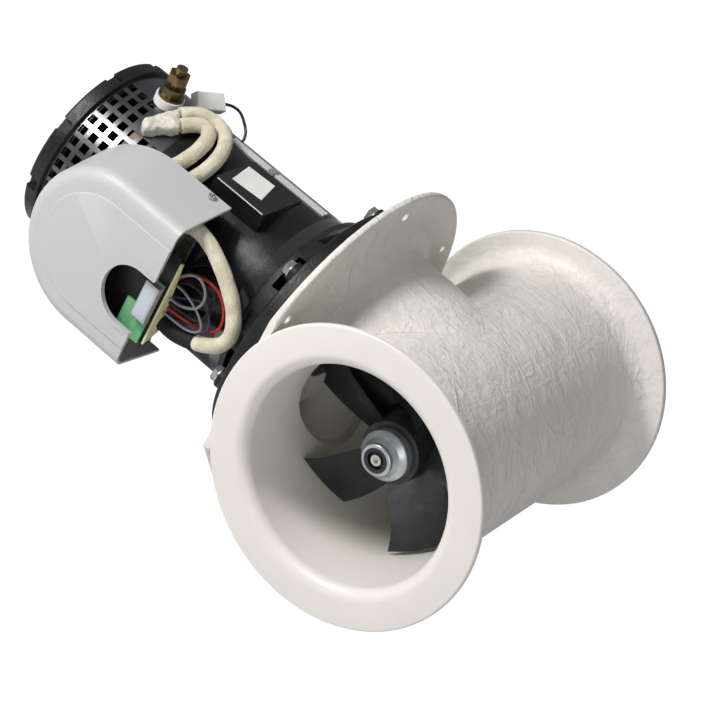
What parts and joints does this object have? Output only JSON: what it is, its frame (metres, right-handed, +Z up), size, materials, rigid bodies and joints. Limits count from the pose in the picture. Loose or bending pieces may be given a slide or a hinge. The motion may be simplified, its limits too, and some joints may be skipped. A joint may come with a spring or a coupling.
{
  "type": "thruster",
  "caption": "Electric tunnel thruster: flared tunnel with a bolt-on neck flange, bladed propeller on a bevel-gear leg, vertical drive motor and a covered control box.",
  "frame": {"origin": "centre of the hull bolt circle, in the plane of the neck flange's hull face", "axes": "+Y along the neck and motor axis, from the tunnel towards the motor; X along the tunnel, with its propeller-side mouth facing -X; +Z up"},
  "size_m": [0.326, 0.5304, 0.314],
  "materials": {
    "gelcoat": "glossy moulded laminate",
    "black_paint": "satin black coat",
    "black_casting": "satin black coat over a cast surface",
    "black_plastic": "moulded, semi-matt",
    "rubber": "matt",
    "zinc_plated": "plated",
    "steel": "ground",
    "zinc": "cast and turned, dull",
    "copper": "bare copper",
    "brass": "turned",
    "carbon": "pressed carbon",
    "varnished_copper": "varnished windings",
    "insulation_board": "pressed board",
    "white_plastic": "moulded",
    "grey_cover": "moulded, satin",
    "cream_sleeve": "braided sleeve",
    "board_green": "solder mask",
    "module_silver": "satin",
    "card_yellow": "pressed card",
    "wire_red": "wire insulation"
  },
  "bodies": {
    "housing": {"tunnel_moulding": "gelcoat", "bracket_gasket": "rubber", "motor_bracket": "black_casting", "bracket_bolts": "zinc_plated", "leg_bolts": "zinc_plated", "gear_leg": "black_casting", "gear_case_cap": "black_casting", "bearing_outer_races": "steel", "shaft_seals": "rubber", "drive_end_bell": "black_casting", "motor_case": "black_paint", "field_poles": "steel", "field_coils": "varnished_copper", "commutator_band": "black_paint", "commutator_end_cap": "black_casting", "tie_bolts": "zinc_plated", "brush_ring": "insulation_board", "brush_boxes": "brass", "brushes": "carbon", "brush_springs": "steel", "label_plate": "black_paint", "control_cover": "grey_cover", "cover_screws": "zinc_plated", "control_base": "zinc_plated", "control_feet": "black_paint", "contactors": "black_plastic", "contactor_studs": "brass", "cable_lugs": "copper", "relay_plate": "black_plastic", "circuit_board": "board_green", "control_module": "module_silver", "insulating_card": "card_yellow", "loop_cable_a": "cream_sleeve", "loop_cable_b": "cream_sleeve", "lower_cable": "cream_sleeve", "cable_boot": "rubber", "cable_cuff": "white_plastic", "signal_wires": "wire_red", "battery_stud": "brass", "stud_insulator": "white_plastic", "stud_nuts": "brass", "connector_housing": "white_plastic"},
    "armature": {"armature_core": "steel", "armature_windings": "varnished_copper", "commutator": "copper", "motor_shaft": "steel", "armature_bearing_races": "steel", "coupling_upper_hub": "steel", "coupling_spider": "rubber", "coupling_lower_hub": "steel", "drive_shaft": "steel", "bevel_pinion": "steel"},
    "propeller": {"propeller_shaft": "steel", "bevel_gear": "steel", "propeller_bearing_races": "steel", "propeller": "black_plastic", "drive_pin": "steel", "propeller_nut": "zinc_plated", "anode": "zinc", "anode_screw": "zinc_plated"}
  },
  "joints": [
    {"name": "armature_spin", "type": "hinge", "parent": "housing", "child": "armature", "pos_m": [0, 0, 0], "axis": [0, 1, 0], "continuous": true},
    {"name": "propeller_spin", "type": "hinge", "parent": "housing", "child": "propeller", "pos_m": [0, -0.118, 0], "axis": [1, 0, 0], "continuous": true}
  ],
  "couplings": [
    {"joint": "propeller_spin", "follows": "armature_spin", "ratio": -0.52}
  ]
}
